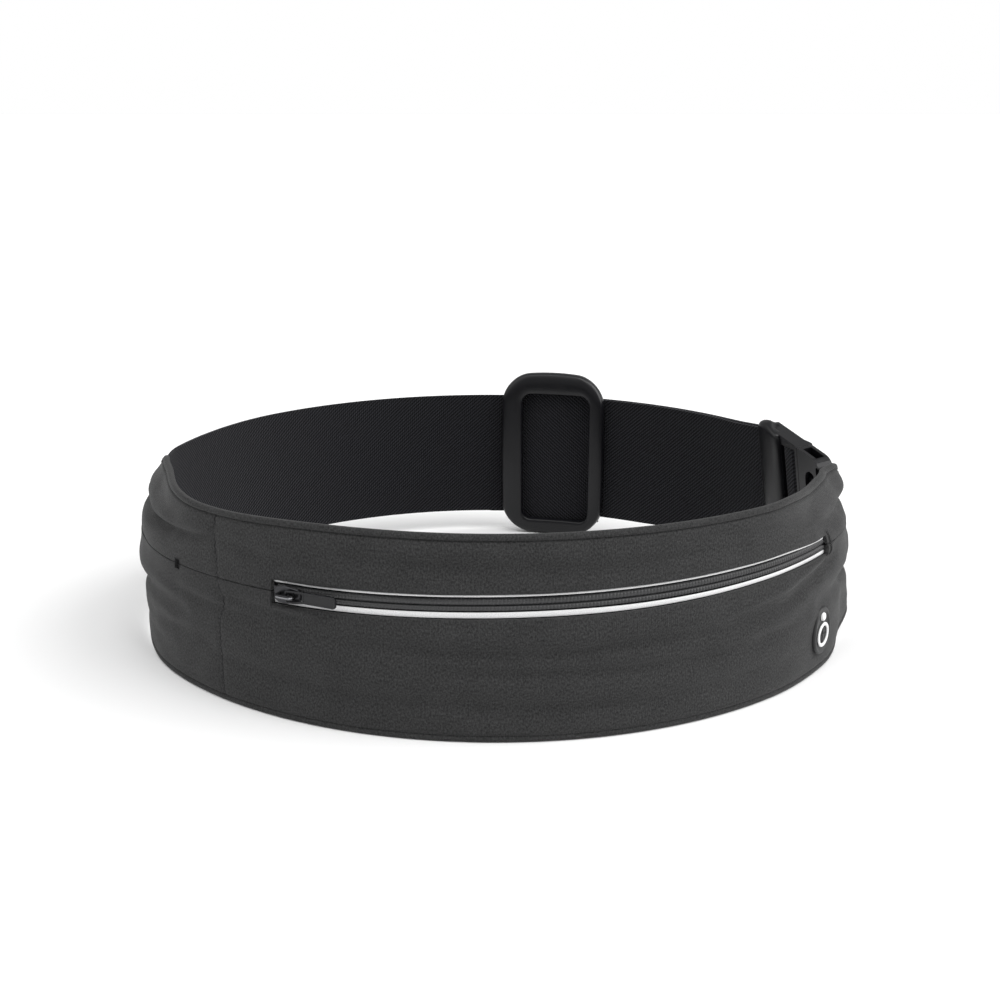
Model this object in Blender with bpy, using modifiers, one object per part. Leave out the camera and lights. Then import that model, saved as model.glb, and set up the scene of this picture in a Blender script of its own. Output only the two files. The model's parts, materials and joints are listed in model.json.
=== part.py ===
"""Running waist pack: a slim zipped fabric pouch closed into a ring by an elastic strap.

The belt stands on its lower edge, Z up, pouch to the front (-Y).  Everything follows one plan
line, the ring: four tangent arcs.  A place on it is s, the distance in metres along the line
from the front centre, growing to the right (+X) and round the back, with an offset outwards.
"""
import math

import bmesh
import bpy
from mathutils import Matrix, Vector

MM = 0.001

# Ring in plan: the arcs' radii, and where the front arc ends to the left and to the right
FRONT_CENTRE = Vector((-0.00241, 0.03456, 0.0))
FRONT_RADIUS = 0.1600
RIGHT_RADIUS = 0.0640
LEFT_RADIUS = 0.1020
BACK_RADIUS = 0.1466
FRONT_LEFT_ANGLE = math.radians(-50.0)
FRONT_RIGHT_ANGLE = math.radians(55.0)
FACET_LENGTH = 0.0065

# Pouch: two fabric faces with a flat pocket between them, lower at both ends
POUCH_LEFT = -0.2340
POUCH_RIGHT = 0.2100
POUCH_HEIGHT = 0.0770
TOP_DROP = 0.0120
TOP_DROP_START = 0.1370
BOTTOM_RISE = 0.0070
BOTTOM_RISE_START = 0.1550
FABRIC = 1.2 * MM
LINING = 1.0 * MM
POUCH_DEPTH = 5.6 * MM
HEM_HEIGHT = 2.2 * MM
SIDE_SEAM = -0.1100
GAP = 0.3 * MM

# Zip: its middle line rises slowly to the right
ZIP_LEFT = -0.0830
ZIP_RIGHT = 0.1475
ZIP_HEIGHT = 0.0508
ZIP_SLOPE = 0.017
SLOT_ABOVE = 4.0 * MM
SLOT_BELOW = 4.6 * MM
SLIDER_PLACE = -0.0755
PULL_AXIS = Vector((0.5 * MM, 3.2 * MM, 0.0))

# Elastic strap, its adjuster and its buckle
STRAP_LOW = 0.0100
STRAP_HIGH = 0.0700
STRAP_MIDDLE = 0.5 * (STRAP_LOW + STRAP_HIGH)
STRAP = 1.6 * MM
STRAP_OFFSET = -1.6 * MM
RETURN_OFFSET = 0.4 * MM
STRAP_TUCK = 0.020
STRAP_SPLIT = 0.3200
ADJUSTER_PLACE = 0.3872
ADJUSTER_WIDTH = 51.5 * MM
ADJUSTER_HEIGHT = 82.5 * MM
ADJUSTER_SHIFT = 1.2 * MM
WINDOW_SIDE = 16.9 * MM
WINDOW_SHIFT = -1.7 * MM
WINDOW_LOW = 7.8 * MM
WINDOW_HIGH = 71.8 * MM
ADJUSTER_THICKNESS = 5.0 * MM
ADJUSTER_OFFSET = -6.1 * MM
TAIL_LENGTH = 8.5 * MM
BUCKLE_PLACE = 0.2450
BUCKLE_OFFSET = -6.5 * MM
SOCKET_HALF_HEIGHT = 29.3 * MM
BUCKLE_HALF_THICKNESS = 3.5 * MM
BUCKLE_TAPER = 0.0056
SOCKET_END = -31.7
PLUG_END = 15.6
ARM_THICKNESS = 2.4 * MM
GRIP_LENGTH = 68.0 * MM
STRAP_CURL = 0.0510

# The belt leans around its buckle: the top edge keeps to the ring, the bottom flares outwards
LEAN = -0.15
LEAN_FROM = (0.1780, 0.2080)
LEAN_TO = (0.2850, 0.3450)

PORT_PLACE = 0.1475
PORT_HEIGHT = 0.0170


# ---------------------------------------------------------------- the ring

def direction(angle):
    """Unit vector at an angle counted from the front (-Y) towards the right (+X)."""
    return Vector((math.sin(angle), -math.cos(angle), 0.0))


def angle_of(vector):
    return math.atan2(vector.x, -vector.y) % (2.0 * math.pi)


def ring_arcs():
    """The ring's arcs as (centre, radius, start angle, end angle), from the front centre round."""
    right = FRONT_CENTRE + (FRONT_RADIUS - RIGHT_RADIUS) * direction(FRONT_RIGHT_ANGLE)
    left = FRONT_CENTRE + (FRONT_RADIUS - LEFT_RADIUS) * direction(FRONT_LEFT_ANGLE)
    reach_right = BACK_RADIUS - RIGHT_RADIUS
    reach_left = BACK_RADIUS - LEFT_RADIUS
    span = left - right
    along = (reach_right ** 2 - reach_left ** 2 + span.length_squared) / (2.0 * span.length)
    across = math.sqrt(reach_right ** 2 - along ** 2)
    unit = span.normalized()
    back = right + unit * along + Vector((unit.y, -unit.x, 0.0)) * across
    if back.y > right.y:
        back = right + unit * along - Vector((unit.y, -unit.x, 0.0)) * across
    back_start = angle_of(right - back)
    back_end = angle_of(left - back)
    full = 2.0 * math.pi
    return [
        (FRONT_CENTRE, FRONT_RADIUS, 0.0, FRONT_RIGHT_ANGLE),
        (right, RIGHT_RADIUS, FRONT_RIGHT_ANGLE, back_start),
        (back, BACK_RADIUS, back_start, back_end),
        (left, LEFT_RADIUS, back_end, full + FRONT_LEFT_ANGLE),
        (FRONT_CENTRE, FRONT_RADIUS, full + FRONT_LEFT_ANGLE, full),
    ]


def ring_stations():
    """Corner points of the faceted ring, as (s, point, outward normal)."""
    stations = []
    start = 0.0
    for centre, radius, low, high in ring_arcs():
        count = math.ceil(radius * (high - low) / FACET_LENGTH)
        for index in range(count):
            angle = low + (high - low) * index / count
            normal = direction(angle)
            stations.append((start + radius * (angle - low), centre + radius * normal, normal))
        start += radius * (high - low)
    first = stations[0]
    stations.append((start, first[1].copy(), first[2].copy()))
    return stations


STATIONS = ring_stations()
RING_LENGTH = STATIONS[-1][0]


def smooth(value):
    value = min(max(value, 0.0), 1.0)
    return value * value * (3.0 - 2.0 * value)


def lean(s):
    """Outward shift per metre of height, negative where the top leans inwards."""
    grown = smooth((s - LEAN_FROM[0]) / (LEAN_FROM[1] - LEAN_FROM[0]))
    return LEAN * (grown - smooth((s - LEAN_TO[0]) / (LEAN_TO[1] - LEAN_TO[0])))


def ring_point(s, offset=0.0, height=0.0):
    """World point on the faceted ring at a height, moved outwards by offset."""
    s = s % RING_LENGTH
    below = height - STRAP_HIGH
    for (low, p0, n0), (high, p1, n1) in zip(STATIONS, STATIONS[1:]):
        if low <= s <= high:
            near = p0 + n0 * (offset + lean(low) * below)
            far = p1 + n1 * (offset + lean(high) * below)
            point = near.lerp(far, (s - low) / (high - low))
            return Vector((point.x, point.y, height))


def ring_frame(s, offset, height):
    """Matrix whose X runs along the ring, Y points outwards and Z up the (leaning) belt."""
    s = s % RING_LENGTH
    offset = offset + lean(s) * (height - STRAP_HIGH)
    start = 0.0
    for centre, radius, low, high in ring_arcs():
        if s <= start + radius * (high - low):
            angle = low + (s - start) / radius
            break
        start += radius * (high - low)
    outward = direction(angle)
    along = Vector((-outward.y, outward.x, 0.0))
    up = Vector((0.0, 0.0, 1.0))
    upright_axis = (up + lean(s) * outward).normalized()
    out_axis = (outward - lean(s) * up).normalized()
    matrix = Matrix((along, out_axis, upright_axis)).transposed().to_4x4()
    matrix.translation = centre + (radius + offset) * outward + height * up
    return matrix


def stations_between(start, end, breaks=()):
    """Every s where a ribbon from start to end needs a corner."""
    places = {start, end}
    places.update(b for b in breaks if start < b < end)
    for turn in (-RING_LENGTH, 0.0):
        for s, _, _ in STATIONS[:-1]:
            if start + MM < s + turn < end - MM:
                places.add(s + turn)
    return sorted(places)


# ---------------------------------------------------------------- heights along the pouch

def end_share(s, start):
    """0 in the middle of the pouch, growing to 1 at its end, beyond the place start."""
    end = POUCH_RIGHT if s > 0.0 else -POUCH_LEFT
    return smooth((abs(s) - start) / (end - start))


def pouch_top(s):
    return POUCH_HEIGHT - TOP_DROP * end_share(s, TOP_DROP_START)


def pouch_bottom(s):
    return BOTTOM_RISE * end_share(s, BOTTOM_RISE_START)


def zip_middle(s):
    return ZIP_HEIGHT + ZIP_SLOPE * (ring_point(s).x - FRONT_CENTRE.x)


def in_zip(s):
    return ZIP_LEFT - 0.1 * MM < s < ZIP_RIGHT + 0.1 * MM


ZIP_BREAKS = (ZIP_LEFT - 0.5 * MM, ZIP_LEFT, ZIP_RIGHT, ZIP_RIGHT + 0.5 * MM)


# ---------------------------------------------------------------- tools

def clear_scene():
    for item in list(bpy.data.objects):
        bpy.data.objects.remove(item, do_unlink=True)


def new_collection(name):
    collection = bpy.data.collections.new(name)
    bpy.context.scene.collection.children.link(collection)
    return collection


def material(name, colour, roughness, metallic=0.0):
    made = bpy.data.materials.new(name)
    made.use_nodes = True
    shader = made.node_tree.nodes["Principled BSDF"]
    shader.inputs["Base Color"].default_value = (*colour, 1.0)
    shader.inputs["Roughness"].default_value = roughness
    shader.inputs["Metallic"].default_value = metallic
    made.diffuse_color = (*colour, 1.0)
    return made


def add_object(name, mesh, look):
    made = bpy.data.objects.new(name, mesh)
    PARTS.objects.link(made)
    made.data.materials.clear()
    made.data.materials.append(look)
    return made


def add_bevel(piece, width, segments=2, angle=45.0):
    bevel = piece.modifiers.new("round_edges", "BEVEL")
    bevel.width = width
    bevel.segments = segments
    bevel.limit_method = "ANGLE"
    bevel.angle_limit = math.radians(angle)
    return piece


def wall(name, lows, highs, thickness, look, side=-1.0, rows=1):
    """Sheet between a low and a high line, thickened inwards (-1) or to both sides (0)."""
    shape = bmesh.new()
    corners = [shape.verts.new(point) for point in lows]
    line = list(corners)
    edges = [shape.edges.new(pair) for pair in zip(line, line[1:])]
    for row in range(rows):
        raised = set(bmesh.ops.extrude_edge_only(shape, edges=edges)["geom"])
        above = [next(edge.other_vert(vert) for edge in vert.link_edges
                      if edge.other_vert(vert) in raised) for vert in line]
        for vert, low, high in zip(above, lows, highs):
            vert.co = low.lerp(high, (row + 1) / rows)
        edges = [shape.edges.get(pair) for pair in zip(above, above[1:])]
        line = above
    shape.normal_update()
    along = lows[1] - lows[0]
    outward = Vector((along.y, -along.x, 0.0))
    first = next(face for face in shape.faces if corners[0] in face.verts)
    if first.normal.dot(outward) < 0.0:
        bmesh.ops.reverse_faces(shape, faces=shape.faces[:])
    mesh = bpy.data.meshes.new(name)
    shape.to_mesh(mesh)
    shape.free()
    piece = add_object(name, mesh, look)
    solid = piece.modifiers.new("thickness", "SOLIDIFY")
    solid.thickness = thickness
    solid.offset = side
    solid.use_even_offset = True
    return piece


def ribbon(name, start, end, low, high, outer, thickness, look, breaks=(), rows=1):
    """Band of fabric along the ring, its outer face at offset outer, between two height rules."""
    places = stations_between(start, end, breaks)
    lows = [ring_point(s, outer, low(s)) for s in places]
    highs = [ring_point(s, outer, high(s)) for s in places]
    return wall(name, lows, highs, thickness, look, -1.0, rows)


def plate_mesh(name, outlines, thickness):
    """Flat plate from closed outlines in X and Y (the first is the edge, others are holes)."""
    curve = bpy.data.curves.new(name, "CURVE")
    curve.dimensions = "2D"
    curve.fill_mode = "BOTH"
    curve.extrude = 0.5 * thickness
    for outline in outlines:
        spline = curve.splines.new("POLY")
        spline.points.add(len(outline) - 1)
        for point, (x, y) in zip(spline.points, outline):
            point.co = (x, y, 0.0, 1.0)
        spline.use_cyclic_u = True
    guide = bpy.data.objects.new(name + "_outline", curve)
    bpy.context.scene.collection.objects.link(guide)
    depsgraph = bpy.context.evaluated_depsgraph_get()
    mesh = bpy.data.meshes.new_from_object(guide.evaluated_get(depsgraph))
    mesh.name = name
    bpy.data.objects.remove(guide, do_unlink=True)
    bpy.data.curves.remove(curve)
    shape = bmesh.new()
    shape.from_mesh(mesh)
    bmesh.ops.remove_doubles(shape, verts=shape.verts[:], dist=0.005 * MM)
    bmesh.ops.recalc_face_normals(shape, faces=shape.faces[:])
    shape.to_mesh(mesh)
    shape.free()
    return mesh


def rounded_box(left, right, low, high, radius, steps=3):
    """Outline of a rectangle with round corners, going round once."""
    outline = []
    corners = ((right, high, 0.0), (left, high, 90.0), (left, low, 180.0), (right, low, 270.0))
    for x, y, start in corners:
        cx = x - radius if x == right else x + radius
        cy = y - radius if y == high else y + radius
        for step in range(steps + 1):
            angle = math.radians(start + 90.0 * step / steps)
            outline.append((cx + radius * math.cos(angle), cy + radius * math.sin(angle)))
    return outline


def placed(mesh, frame):
    """Move a mesh into a frame; the ring's frames are mirrored, so its faces are turned back."""
    mesh.transform(frame)
    if frame.is_negative:
        mesh.flip_normals()
    return mesh


def upright(mesh, frame):
    """Turn a plate drawn in X and Y so that its Y is the frame's Z, and place it."""
    return placed(mesh, frame @ Matrix.Rotation(math.radians(90.0), 4, "X"))


def box_mesh(name, lows, highs):
    shape = bmesh.new()
    bmesh.ops.create_cube(shape, size=1.0)
    lows = Vector(lows)
    highs = Vector(highs)
    for vert in shape.verts:
        for axis in range(3):
            vert.co[axis] = lows[axis] if vert.co[axis] < 0.0 else highs[axis]
    mesh = bpy.data.meshes.new(name)
    shape.to_mesh(mesh)
    shape.free()
    return mesh


def combine(piece, meshes, operation):
    """Join other meshes to a piece, or cut them from it; they stay as hidden cutters."""
    for index, mesh in enumerate(meshes):
        tool = bpy.data.objects.new(f"{piece.name}_tool_{index}", mesh)
        CUTTERS.objects.link(tool)
        tool.hide_render = True
        tool.display_type = "WIRE"
        boolean = piece.modifiers.new(f"{operation.lower()}_{index}", "BOOLEAN")
        boolean.operation = operation
        boolean.solver = "EXACT"
        boolean.object = tool
    return piece


# ---------------------------------------------------------------- pouch

def build_pouch():
    def panel_low(s):
        return pouch_bottom(s) + HEM_HEIGHT + GAP

    def panel_high(s):
        return pouch_top(s) - HEM_HEIGHT - GAP

    def above_zip(s):
        return zip_middle(s) + (SLOT_ABOVE if in_zip(s) else 0.5 * GAP)

    def below_zip(s):
        return zip_middle(s) - (SLOT_BELOW if in_zip(s) else 0.5 * GAP)

    seam = SIDE_SEAM + 0.5 * GAP
    ribbon("front_panel_upper", seam, POUCH_RIGHT, above_zip, panel_high, 0.0, FABRIC,
           KNIT, ZIP_BREAKS, 2)
    ribbon("front_panel_lower", seam, POUCH_RIGHT, panel_low, below_zip, 0.0, FABRIC,
           KNIT, ZIP_BREAKS, 5)
    side_end = SIDE_SEAM - 0.5 * GAP
    ribbon("side_panel_upper", POUCH_LEFT, side_end, above_zip, panel_high, 0.0, FABRIC, KNIT)
    ribbon("side_panel_lower", POUCH_LEFT, side_end, panel_low, below_zip, 0.0, FABRIC, KNIT)
    ribbon("back_panel", POUCH_LEFT, POUCH_RIGHT, panel_low, panel_high,
           LINING - POUCH_DEPTH, LINING, MESH_LINING, (), 6)
    ribbon("top_hem", POUCH_LEFT + STRAP_TUCK + 2.0 * MM, POUCH_RIGHT - STRAP_TUCK - 2.0 * MM,
           lambda s: pouch_top(s) - HEM_HEIGHT, pouch_top, 0.0, POUCH_DEPTH, KNIT)
    ribbon("bottom_hem", POUCH_LEFT, POUCH_RIGHT,
           pouch_bottom, lambda s: pouch_bottom(s) + HEM_HEIGHT, 0.0, POUCH_DEPTH, KNIT)


def zip_band(name, low, high, start, end, outer, thickness, look):
    """Band that follows the zip's middle line, from low to high beside it."""
    ribbon(name, start, end, lambda s: zip_middle(s) + low, lambda s: zip_middle(s) + high,
           outer, thickness, look)


def build_zip():
    tape_start = ZIP_LEFT - 5.0 * MM
    tape_end = ZIP_RIGHT + 4.5 * MM
    coil_start = ZIP_LEFT + 1.8 * MM
    coil_end = ZIP_RIGHT - 0.5 * MM
    for side, sign in (("upper", 1.0), ("lower", -1.0)):
        inner, outer = sign * 0.5 * GAP, sign * 9.0 * MM
        zip_band(f"zip_tape_{side}", min(inner, outer), max(inner, outer), tape_start, tape_end,
                 -FABRIC - GAP, 0.6 * MM, TAPE)
        outer = sign * 2.2 * MM
        zip_band(f"zip_coil_{side}", min(inner, outer), max(inner, outer), coil_start, coil_end,
                 -0.2 * MM, 0.95 * MM, COIL)
    strip_start = ZIP_LEFT + 0.4 * MM
    strip_end = ZIP_RIGHT - 0.4 * MM
    zip_band("reflective_strip_upper", 2.9 * MM, 3.7 * MM, strip_start, strip_end,
             0.1 * MM, 1.2 * MM, REFLECTIVE)
    zip_band("reflective_strip_lower", -4.3 * MM, -2.5 * MM, strip_start, strip_end,
             0.1 * MM, 1.2 * MM, REFLECTIVE)
    zip_band("zip_end_stop", -2.0 * MM, 2.0 * MM, ZIP_LEFT + 0.4 * MM, ZIP_LEFT + 1.5 * MM,
             0.0, 1.1 * MM, METAL)


def zip_frame(s):
    """Frame on the pouch surface at the zip's middle, tipped along the zip's slope."""
    frame = ring_frame(s, 0.0, zip_middle(s))
    return frame @ Matrix.Rotation(-math.atan(ZIP_SLOPE * frame[0][0]), 4, "Y")


def build_slider():
    frame = zip_frame(SLIDER_PLACE)
    outline = [(-5.5, -1.9), (-4.2, -3.0), (-1.0, -3.3), (4.6, -2.6), (5.5, -1.6),
               (5.5, 1.6), (4.6, 2.6), (-1.0, 3.3), (-4.2, 3.0), (-5.5, 1.9)]
    body = plate_mesh("zip_slider_body", [[(x * MM, y * MM) for x, y in outline]],
                      1.5 * MM)
    upright(body, frame @ Matrix.Translation((0.0, 1.3 * MM, 0.0)))
    slider = add_bevel(add_object("zip_slider_body", body, METAL), 0.3 * MM, 1)
    post = [(-3.6, 1.6), (-3.6, 4.0), (-2.9, 4.9), (2.9, 4.9), (3.6, 4.0), (3.6, 1.6),
            (2.6, 1.6), (2.6, 3.6), (2.2, 4.1), (-2.2, 4.1), (-2.6, 3.6), (-2.6, 1.6)]
    crown = plate_mesh("crown", [[(x * MM, y * MM) for x, y in post]], 1.6 * MM)
    combine(slider, [placed(crown, frame)], "UNION")

    bar_end = 2.4 * MM
    pull_frame = frame @ Matrix.Translation(PULL_AXIS)
    tab = plate_mesh("zip_pull", [rounded_box(7.0 * MM, 20.8 * MM, -bar_end, bar_end, 1.3 * MM)],
                     1.4 * MM)
    pull = add_bevel(add_object("zip_pull", upright(tab, pull_frame), PLASTIC), 0.35 * MM, 1)
    arms = [placed(box_mesh("arm", (-0.6 * MM, -0.55 * MM, low * MM),
                            (7.8 * MM, 0.55 * MM, high * MM)), pull_frame)
            for low, high in ((-2.4, -1.5), (1.5, 2.4))]
    shape = bmesh.new()
    bmesh.ops.create_cone(shape, cap_ends=True, segments=10, radius1=0.65 * MM,
                          radius2=0.65 * MM, depth=2.0 * bar_end)
    bar = bpy.data.meshes.new("pull_bar")
    shape.to_mesh(bar)
    shape.free()
    combine(pull, arms + [placed(bar, pull_frame)], "UNION")


def build_stitching():
    tack = add_object("side_pocket_bartack",
                      placed(box_mesh("tack", (-1.5 * MM, GAP, -4.0 * MM),
                                      (1.5 * MM, 0.8 * MM, 4.0 * MM)),
                             ring_frame(-0.1345, 0.0, zip_middle(-0.1345))), THREAD)
    add_bevel(tack, 0.2 * MM, 1)
    end = ZIP_RIGHT + 3.0 * MM
    tack = add_object("zip_end_bartack",
                      placed(box_mesh("tack", (-1.8 * MM, GAP, -4.5 * MM),
                                      (1.8 * MM, 0.9 * MM, 4.5 * MM)),
                             ring_frame(end, 0.0, zip_middle(end))), THREAD)
    add_bevel(tack, 0.2 * MM, 1)


def build_port():
    """Rubber earphone port: a rounded three-cornered patch with a round rim."""
    frame = ring_frame(PORT_PLACE, 0.0, PORT_HEIGHT)
    corners = ((3.2, 5.4, 2.6, -20.0, 95.0), (-4.4, 1.0, 4.2, 95.0, 200.0),
               (0.0, -4.4, 4.4, 200.0, 320.0), (4.2, -0.4, 4.0, 320.0, 340.0))
    outline = []
    for x, y, radius, start, end in corners:
        for step in range(5):
            angle = math.radians(start + (end - start) * step / 4.0)
            outline.append(((x + radius * math.cos(angle)) * MM,
                            (y + radius * math.sin(angle)) * MM))
    patch = plate_mesh("earphone_port_patch", [outline], 1.4 * MM)
    upright(patch, frame @ Matrix.Translation((0.0, 1.0 * MM, 0.0)))
    add_bevel(add_object("earphone_port_patch", patch, RUBBER), 0.4 * MM, 2)
    rings = []
    for radius in (4.9 * MM, 3.7 * MM):
        rings.append([(radius * math.cos(math.radians(a)), radius * math.sin(math.radians(a)))
                      for a in range(0, 360, 15)])
    rim = plate_mesh("earphone_port_rim", rings, 0.5 * MM)
    upright(rim, frame @ Matrix.Translation((0.0, 2.25 * MM, -1.5 * MM)))
    add_object("earphone_port_rim", rim, REFLECTIVE)


# ---------------------------------------------------------------- strap

def low_edge(s):
    return STRAP_LOW


def high_edge(s):
    return STRAP_HIGH


def rounded_path(points, passes=2):
    """Cut each corner of an open path, so that it bends like cloth."""
    for _ in range(passes):
        cut = [points[0]]
        for here, there in zip(points, points[1:]):
            cut.append(here.lerp(there, 0.25))
            cut.append(here.lerp(there, 0.75))
        cut.append(points[-1])
        points = cut
    return points


def buckle_points(route, height):
    """Points given in mm along and outwards in the buckle's frame, at a height on it."""
    frame = ring_frame(BUCKLE_PLACE, BUCKLE_OFFSET, STRAP_MIDDLE)
    return [frame @ Vector((x * MM, y * MM, height)) for x, y in route]


def build_strap():
    left = RING_LENGTH + POUCH_LEFT + STRAP_TUCK
    ribbon("elastic_strap", STRAP_SPLIT + 0.3 * MM, left, low_edge, high_edge,
           STRAP_OFFSET, STRAP, ELASTIC, (), 4)
    ribbon("elastic_strap_return", STRAP_SPLIT + 0.3 * MM, ADJUSTER_PLACE - 8.3 * MM,
           low_edge, high_edge, RETURN_OFFSET, STRAP, ELASTIC, (), 4)
    ribbon("elastic_strap_tail", ADJUSTER_PLACE - 8.0 * MM,
           ADJUSTER_PLACE + 0.5 * ADJUSTER_WIDTH + TAIL_LENGTH,
           low_edge, high_edge, RETURN_OFFSET, STRAP, ELASTIC)

    # Buckle end: behind the end plate, through its slot, round the cross bar and back outside
    route = [(41.0, -1.5), (34.0, 0.9), (27.0, 3.3), (20.5, 4.75), (12.0, 4.75), (4.0, 4.75),
             (-1.6, 4.7), (-2.6, 3.4), (-2.6, -1.2), (-3.4, -2.7), (-6.5, -2.7), (-9.6, -2.7),
             (-10.4, -1.2), (-10.4, 5.4), (-9.0, 7.0), (-4.0, 7.1), (4.0, 7.1), (12.0, 7.1),
             (20.5, 7.0), (27.0, 5.6), (34.0, 3.2), (41.0, 0.8)]
    outside = stations_between(BUCKLE_PLACE + STRAP_CURL, STRAP_SPLIT)
    middle = STRAP_OFFSET - 0.5 * STRAP
    sheet_lines = []
    for height, half in ((STRAP_LOW, -30.0 * MM), (STRAP_HIGH, 30.0 * MM)):
        bends = buckle_points(route, half)
        going = [ring_point(s, middle, height) for s in reversed(outside)]
        coming = [ring_point(s, middle + 2.0 * MM, height) for s in outside]
        curl = rounded_path([going[-1]] + bends + [coming[0]])
        sheet_lines.append(going[:-1] + curl + coming[1:])
    wall("elastic_strap_buckle_end", *sheet_lines, STRAP, ELASTIC, 0.0, 6)

    # Webbing tab: two plies sewn in the pouch's right end, folded round the socket's bar
    fold = [(-34.1, 0.35), (-33.1, 1.3), (-32.2, 2.4), (-30.4, 2.45), (-29.3, 1.4),
            (-29.3, -1.4), (-30.4, -2.45), (-32.2, -2.4), (-33.0, -1.7), (-33.8, -1.25)]
    tucked = [POUCH_RIGHT - step * MM for step in (13.0, 9.0, 5.0, 1.5)]
    sheet_lines = []
    for height, half in ((STRAP_LOW + 4.0 * MM, -25.5 * MM), (STRAP_HIGH - 6.5 * MM, 24.0 * MM)):
        outer_ply = [ring_point(s, -2.13 * MM, height) for s in tucked]
        inner_ply = [ring_point(s, -3.67 * MM, height) for s in reversed(tucked)]
        sheet_lines.append(rounded_path(outer_ply + buckle_points(fold, half) + inner_ply))
    wall("buckle_webbing_tab", *sheet_lines, 1.2 * MM, ELASTIC, 0.0, 4)


def bend_round_back(mesh, s, offset):
    """Bend a flat plate (X along, Y out, Z up) round the back arc, centred on the place s."""
    centre, radius = ring_arcs()[2][:2]
    middle = angle_of(ring_frame(s, 0.0, 0.0).translation - centre)
    for vert in mesh.vertices:
        outward = direction(middle + vert.co.x / (radius + offset))
        point = centre + outward * (radius + offset + vert.co.y)
        vert.co = Vector((point.x, point.y, vert.co.z))
    mesh.flip_normals()
    return mesh


def build_adjuster():
    """Three-bar slide: the strap runs behind the frame's sides and inside its middle bar."""
    half_w = 0.5 * ADJUSTER_WIDTH
    edge = rounded_box(-half_w, half_w, 0.0, ADJUSTER_HEIGHT, 11.0 * MM, 5)
    window = rounded_box(WINDOW_SHIFT - WINDOW_SIDE, WINDOW_SHIFT + WINDOW_SIDE,
                         WINDOW_LOW, WINDOW_HIGH, 4.0 * MM, 4)
    frame = plate_mesh("adjuster_frame", [edge, window], ADJUSTER_THICKNESS)
    frame.transform(Matrix.Translation((ADJUSTER_SHIFT, 0.0, 0.0))
                    @ Matrix.Rotation(math.pi / 2, 4, "X"))
    bend_round_back(frame, ADJUSTER_PLACE, ADJUSTER_OFFSET)
    adjuster = add_bevel(add_object("adjuster_frame", frame, PLASTIC), 1.4 * MM, 3)

    top = STRAP_HIGH + 0.6 * MM - STRAP_MIDDLE
    end = top + 3.4 * MM
    inner, near, far = -1.0 * MM, 6.9 * MM, 9.4 * MM
    bridge = [(inner, -end), (far, -end), (far, end), (inner, end), (inner, top), (near, top),
              (near, -top), (inner, -top)]
    bar = plate_mesh("middle_bar", [bridge], 7.0 * MM)
    turn = Matrix(((0.0, 0.0, 1.0, 0.0), (1.0, 0.0, 0.0, 0.0), (0.0, 1.0, 0.0, 0.0),
                   (0.0, 0.0, 0.0, 1.0)))
    bar.transform(turn)
    bend_round_back(bar, ADJUSTER_PLACE, ADJUSTER_OFFSET)
    bar.transform(Matrix.Translation((0.0, 0.0, STRAP_MIDDLE)))
    combine(adjuster, [bar], "UNION")


def tapered(outline):
    """The buckle grows wider from its webbing bar to its end plate."""
    return [(x, y * (1.0 + BUCKLE_TAPER * (x - SOCKET_END))) for x, y in outline]


def end_plate(joint, end, half):
    """Outline in mm of one half of the buckle: wide corners at its end, tight at the joint."""
    left, right = min(joint, end), max(joint, end)
    middle = 0.5 * (left + right)
    wide = [(x, y) for x, y in rounded_box(left, right, -half, half, 5.5, 5)
            if (x - middle) * (end - joint) > 0.0]
    tight = [(x, y) for x, y in rounded_box(left, right, -half, half, 1.0, 2)
             if (x - middle) * (end - joint) < 0.0]
    return sorted(wide + tight, key=lambda point: math.atan2(point[1], point[0] - middle))


def buckle_plate(name, outlines, thickness):
    """Plate of the buckle, drawn along the ring (X) and up the belt (Y), both in mm."""
    scaled = [[(x * MM, y * MM) for x, y in outline] for outline in outlines]
    mesh = plate_mesh(name, scaled, thickness)
    return upright(mesh, ring_frame(BUCKLE_PLACE, BUCKLE_OFFSET, STRAP_MIDDLE))


def buckle_box(along, out, up):
    """Box in the buckle's frame, each side given as a pair of limits in mm."""
    mesh = box_mesh("buckle_cut", *(tuple(side[end] * MM for side in (along, out, up))
                                    for end in (0, 1)))
    return placed(mesh, ring_frame(BUCKLE_PLACE, BUCKLE_OFFSET, STRAP_MIDDLE))


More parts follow.
